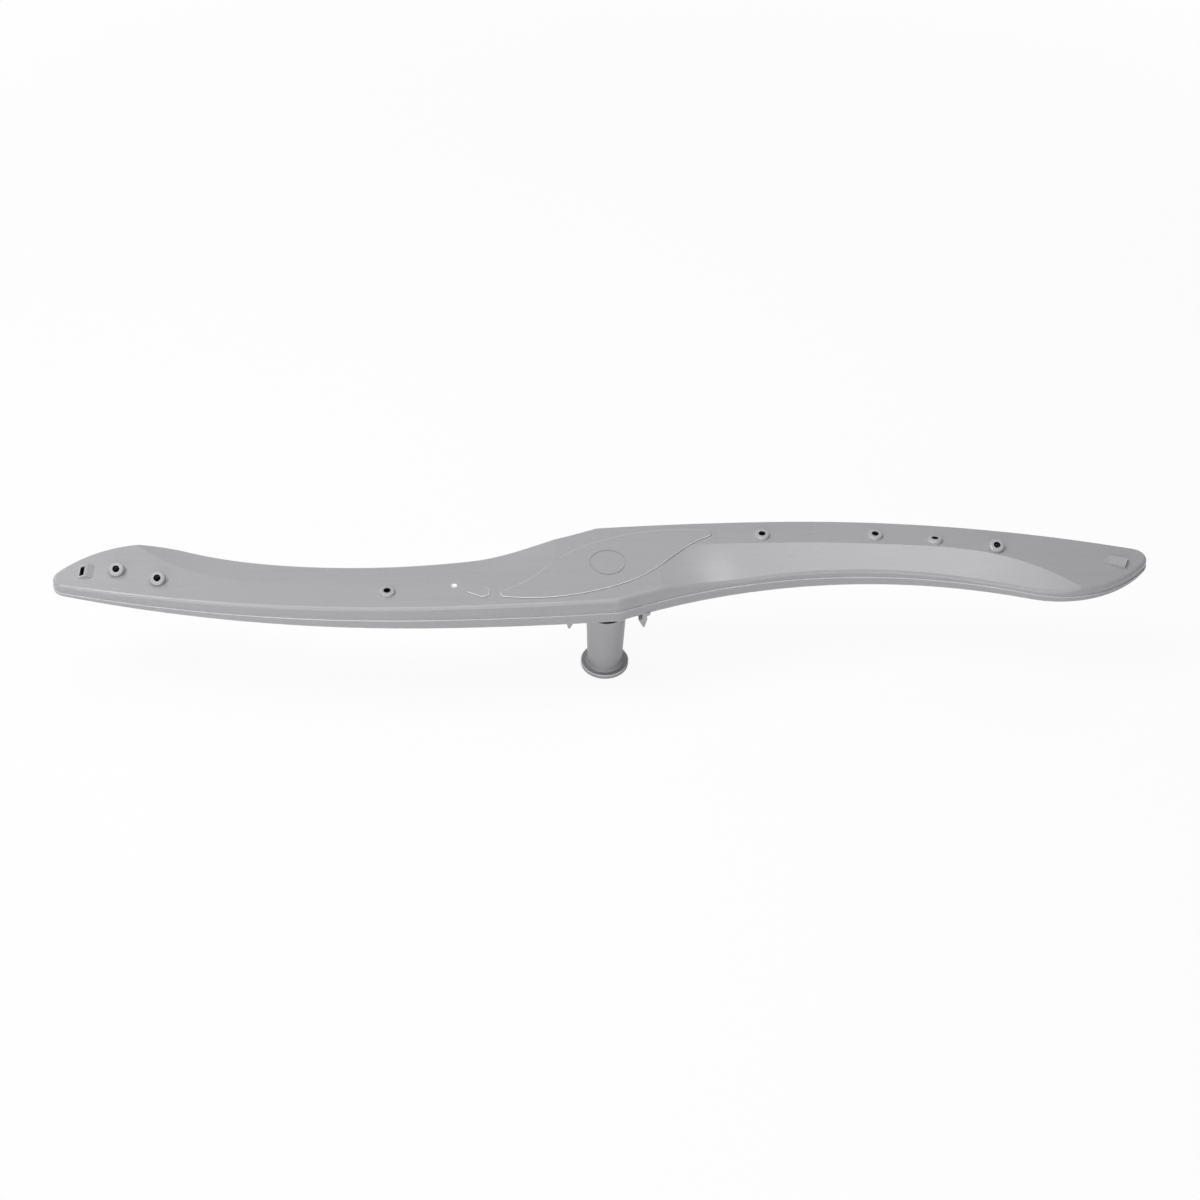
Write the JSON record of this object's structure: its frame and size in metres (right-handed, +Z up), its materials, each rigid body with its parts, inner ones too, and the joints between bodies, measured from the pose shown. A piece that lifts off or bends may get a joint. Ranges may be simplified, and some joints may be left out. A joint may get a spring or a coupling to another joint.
{
  "type": "dishwasher spray arm",
  "caption": "S-shaped grey plastic dishwasher spray arm of two welded shells with raised nozzles, which spins on a flanged inlet tube.",
  "frame": {"origin": "centre of the underside of the inlet tube's flange", "axes": "+Z up along the tube and the spin axis, +X along the arm to the tip with the flat plank hood"},
  "size_m": [0.465, 0.0522, 0.0617],
  "materials": {
    "shell_plastic": "satin moulded polypropylene",
    "tube_plastic": "satin moulded polypropylene",
    "bearing_plastic": "smooth acetal",
    "ring_steel": "spring steel"
  },
  "bodies": {
    "inlet": {"inlet_tube": "tube_plastic", "retaining_ring": "ring_steel"},
    "arm": {"upper_shell": "shell_plastic", "lower_shell": "shell_plastic", "bearing_bush": "bearing_plastic", "thrust_washer": "bearing_plastic"}
  },
  "joints": [
    {"name": "arm_spin", "type": "hinge", "parent": "inlet", "child": "arm", "pos_m": [0, 0, 0.0404], "axis": [0, 0, 1], "continuous": true}
  ]
}
